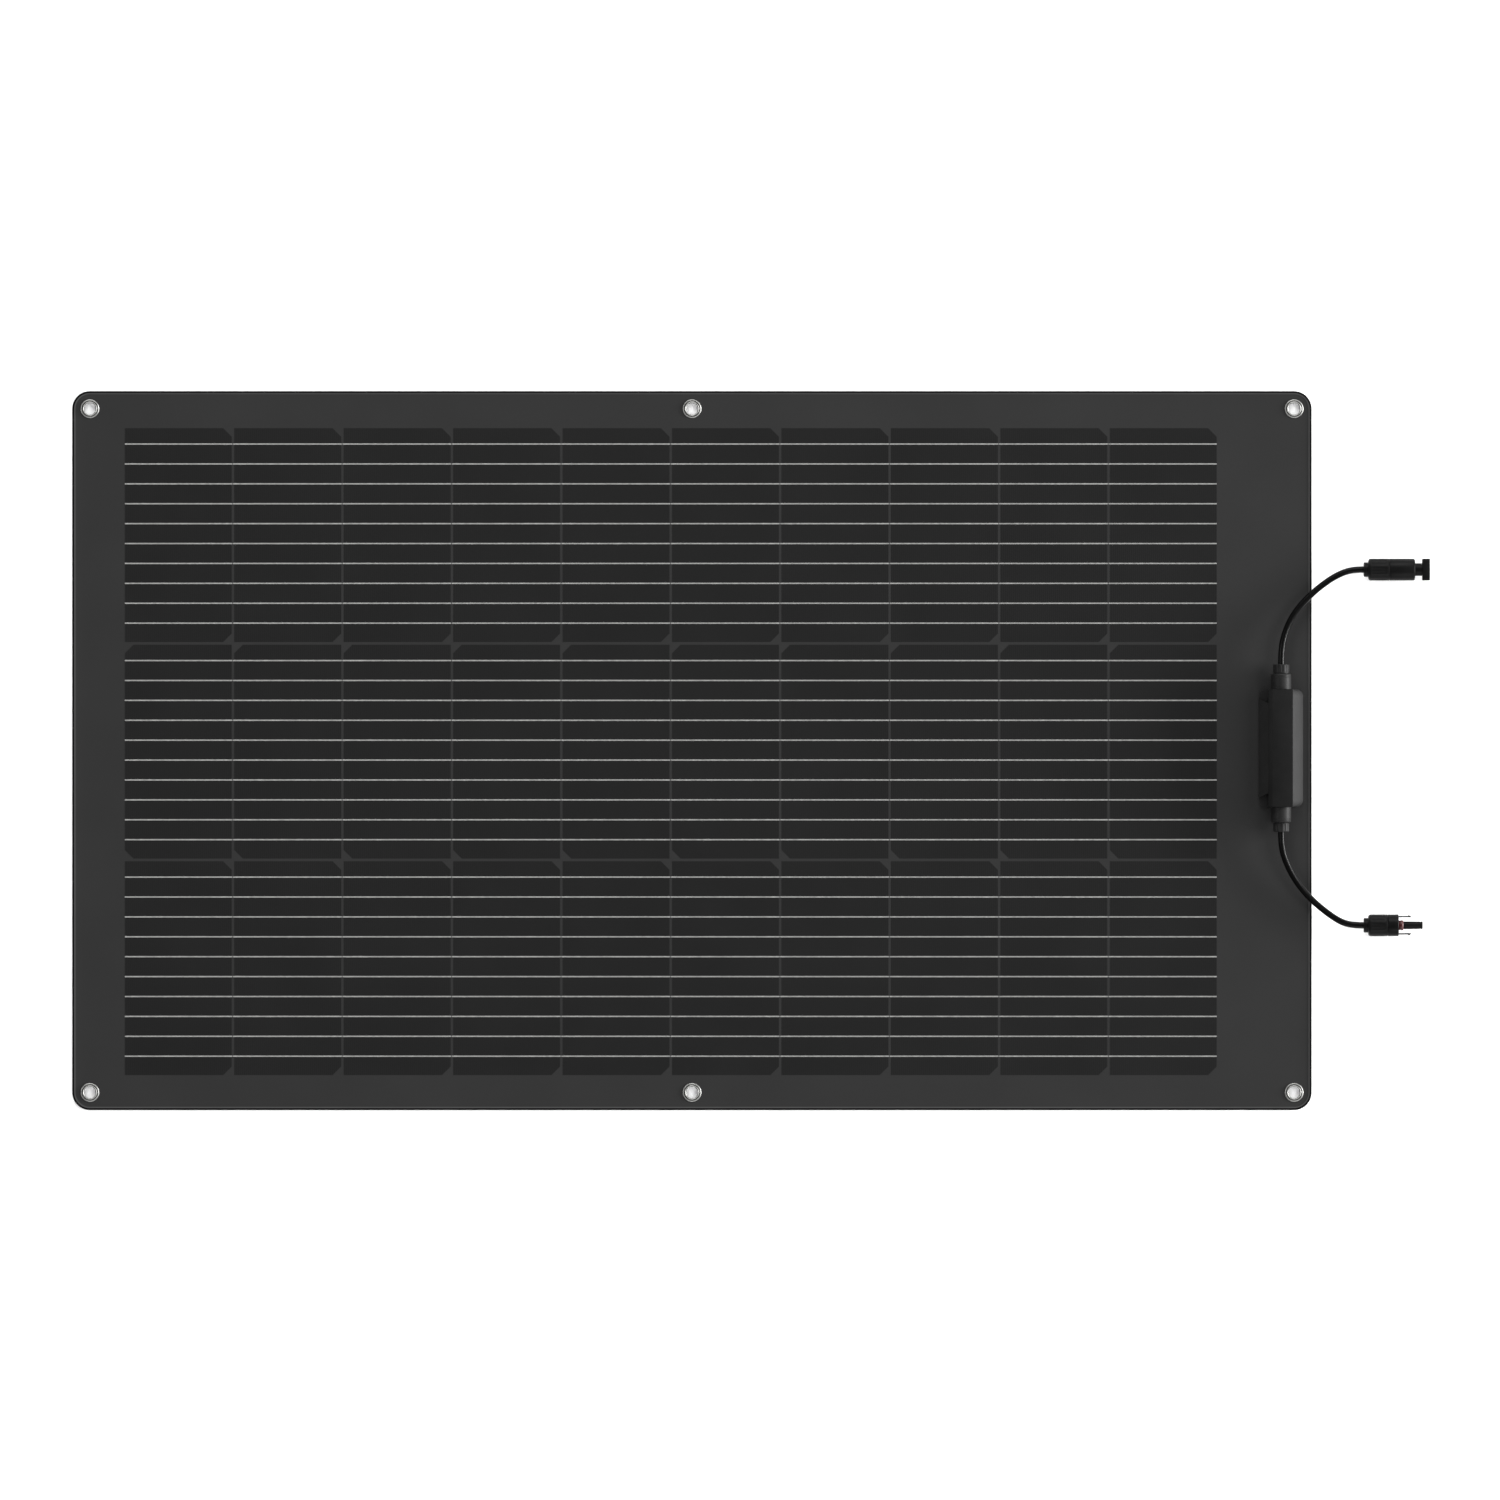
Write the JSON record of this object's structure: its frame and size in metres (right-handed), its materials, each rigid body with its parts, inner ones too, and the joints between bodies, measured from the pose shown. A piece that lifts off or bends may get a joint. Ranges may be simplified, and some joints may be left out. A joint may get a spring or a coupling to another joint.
{
  "type": "flexible solar sheet",
  "caption": "Thin flexible laminate of half-cut solar cells with eyelets, a slim junction box and two short leads ending in locking connectors.",
  "frame": {"origin": "middle of the back face of the sheet, on the surface it lies on", "axes": "+X along the sheet towards the junction box, +Y across the sheet towards the socket connector, +Z out of the cell side"},
  "size_m": [1.1551, 0.612, 0.0225],
  "materials": {
    "film_matt_black": "satin",
    "front_film_satin": "satin",
    "glass_fibre_board": "matte",
    "encapsulant_dark": "satin",
    "encapsulant_clear": "clear",
    "silicon": "satin",
    "tinned_copper": "satin",
    "nickel_plated": "polished",
    "adhesive_tape": "matte",
    "box_plastic": "satin",
    "gland_plastic": "satin",
    "silicone_grey": "matte",
    "copper": "drawn",
    "epoxy_black": "matte",
    "cable_jacket": "satin",
    "connector_plastic": "satin",
    "seal_red": "satin"
  },
  "bodies": {
    "sheet": {"back_film": "film_matt_black", "fibreglass_board": "glass_fibre_board", "rear_encapsulant": "encapsulant_dark", "solar_cells": "silicon", "cell_ribbons": "tinned_copper", "row_link_strips": "tinned_copper", "positive_strip": "tinned_copper", "negative_strip": "tinned_copper", "front_encapsulant": "encapsulant_clear", "front_film": "front_film_satin", "eyelets": "nickel_plated", "eyelet_washers": "nickel_plated", "box_adhesive": "adhesive_tape", "box_base": "box_plastic", "lid_gasket": "silicone_grey", "box_lid": "box_plastic", "terminal_positive": "tinned_copper", "terminal_negative": "tinned_copper", "bypass_diode": "epoxy_black", "copper_ends": "copper", "box_cable_tails": "cable_jacket", "gland_sleeve_upper": "gland_plastic", "gland_sleeve_lower": "gland_plastic", "gland_seal_upper": "silicone_grey", "gland_seal_lower": "silicone_grey", "cable_upper": "cable_jacket", "cable_lower": "cable_jacket", "female_housing": "connector_plastic", "female_seal": "silicone_grey", "pin_contact": "tinned_copper", "female_cable_tail": "cable_jacket", "male_housing": "connector_plastic", "male_seal": "silicone_grey", "socket_contact": "tinned_copper", "male_cable_tail": "cable_jacket", "plug_ring": "seal_red"},
    "slip_washer_upper": {"slip_washer_upper": "gland_plastic"},
    "gland_nut_upper": {"gland_nut_upper": "gland_plastic"},
    "slip_washer_lower": {"slip_washer_lower": "gland_plastic"},
    "gland_nut_lower": {"gland_nut_lower": "gland_plastic"},
    "female_collet": {"female_collet": "connector_plastic"},
    "female_nut": {"female_nut": "connector_plastic"},
    "male_collet": {"male_collet": "connector_plastic"},
    "male_nut": {"male_nut": "connector_plastic"},
    "latch_arm_upper": {"latch_arm_upper": "connector_plastic"},
    "latch_arm_lower": {"latch_arm_lower": "connector_plastic"}
  },
  "joints": [
    {"name": "gland_upper_travel", "type": "slide", "parent": "sheet", "child": "slip_washer_upper", "axis": [0, 1, 0], "range_m": [0, 0.00225]},
    {"name": "gland_upper_turn", "type": "hinge", "parent": "slip_washer_upper", "child": "gland_nut_upper", "pos_m": [0.5012, 0.0621, 0.012], "axis": [0, 1, 0], "range_deg": [0, 541]},
    {"name": "gland_lower_travel", "type": "slide", "parent": "sheet", "child": "slip_washer_lower", "axis": [0, -1, 0], "range_m": [0, 0.00225]},
    {"name": "gland_lower_turn", "type": "hinge", "parent": "slip_washer_lower", "child": "gland_nut_lower", "pos_m": [0.5012, -0.0579, 0.012], "axis": [0, -1, 0], "range_deg": [0, 541]},
    {"name": "female_nut_travel", "type": "slide", "parent": "sheet", "child": "female_collet", "axis": [-1, 0, 0], "range_m": [0, 0.00225]},
    {"name": "female_nut_turn", "type": "hinge", "parent": "female_collet", "child": "female_nut", "pos_m": [0.5835, 0.154, 0.0093], "axis": [-1, 0, 0], "range_deg": [0, 541]},
    {"name": "male_nut_travel", "type": "slide", "parent": "sheet", "child": "male_collet", "axis": [-1, 0, 0], "range_m": [0, 0.00225]},
    {"name": "male_nut_turn", "type": "hinge", "parent": "male_collet", "child": "male_nut", "pos_m": [0.5835, -0.1486, 0.0093], "axis": [-1, 0, 0], "range_deg": [0, 541]},
    {"name": "latch_upper_press", "type": "hinge", "parent": "sheet", "child": "latch_arm_upper", "pos_m": [0.6018, -0.1413, 0.0093], "axis": [0, 0, -1], "range_deg": [0, 8], "stiffness_Nm_per_rad": 0.02},
    {"name": "latch_lower_press", "type": "hinge", "parent": "sheet", "child": "latch_arm_lower", "pos_m": [0.6018, -0.1559, 0.0093], "axis": [0, 0, 1], "range_deg": [0, 8], "stiffness_Nm_per_rad": 0.02}
  ],
  "couplings": [
    {"joint": "gland_upper_turn", "follows": "gland_upper_travel", "rad_per_m": 4188.8},
    {"joint": "gland_lower_turn", "follows": "gland_lower_travel", "rad_per_m": 4188.8},
    {"joint": "female_nut_turn", "follows": "female_nut_travel", "rad_per_m": 4188.8},
    {"joint": "male_nut_turn", "follows": "male_nut_travel", "rad_per_m": 4188.8}
  ]
}
